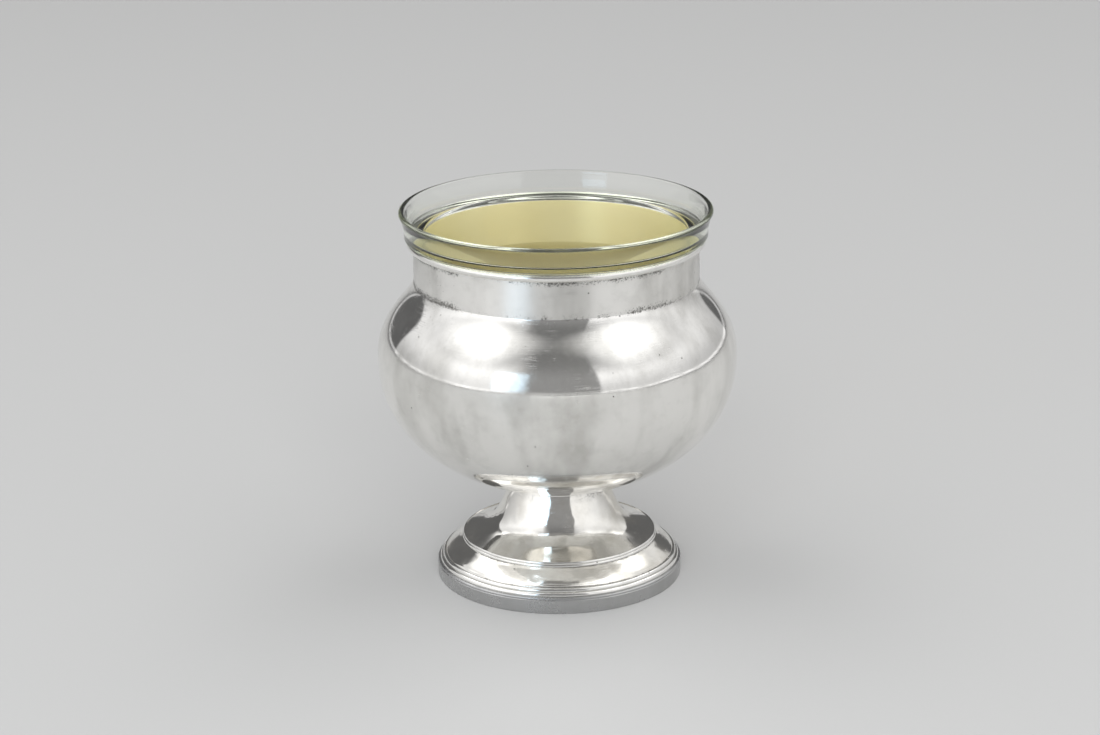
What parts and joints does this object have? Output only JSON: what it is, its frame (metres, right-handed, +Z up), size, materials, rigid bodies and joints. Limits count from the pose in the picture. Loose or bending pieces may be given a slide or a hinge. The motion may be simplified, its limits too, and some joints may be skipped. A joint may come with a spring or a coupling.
{
  "type": "serving cup",
  "caption": "Footed silver-plated serving cup with a round bowl, a straight neck and a clear glass liner that lifts straight out.",
  "frame": {"origin": "centre of the foot's resting face, on the axis that every piece is turned about", "axes": "+Z up along the turning axis. The cup is round, so X and Y are alike; the picture looks along +Y and down"},
  "size_m": [0.115, 0.115, 0.1218],
  "materials": {
    "silver_plate": "polished silver plate with fine wiping scratches and light tarnish; gilt inside the bowl and neck",
    "warm_silver_plate": "polished silver plate, a little warmer and more tarnished",
    "brushed_silver_plate": "silver plate rubbed to a fine brushed grey",
    "clear_glass": "clear pressed and polished glass with a faint green tint at its edge"
  },
  "bodies": {
    "stand": {"foot_band": "brushed_silver_plate", "reeded_wire": "silver_plate", "foot_shell": "warm_silver_plate", "step_wire": "silver_plate", "stem_shell": "warm_silver_plate", "bowl_shell": "silver_plate", "neck_collar": "silver_plate", "lip_wire": "silver_plate"},
    "liner": {"glass_liner": "clear_glass"}
  },
  "joints": [
    {"name": "liner_lift", "type": "slide", "parent": "stand", "child": "liner", "axis": [0, 0, 1], "range_m": [0, 0.075]}
  ]
}
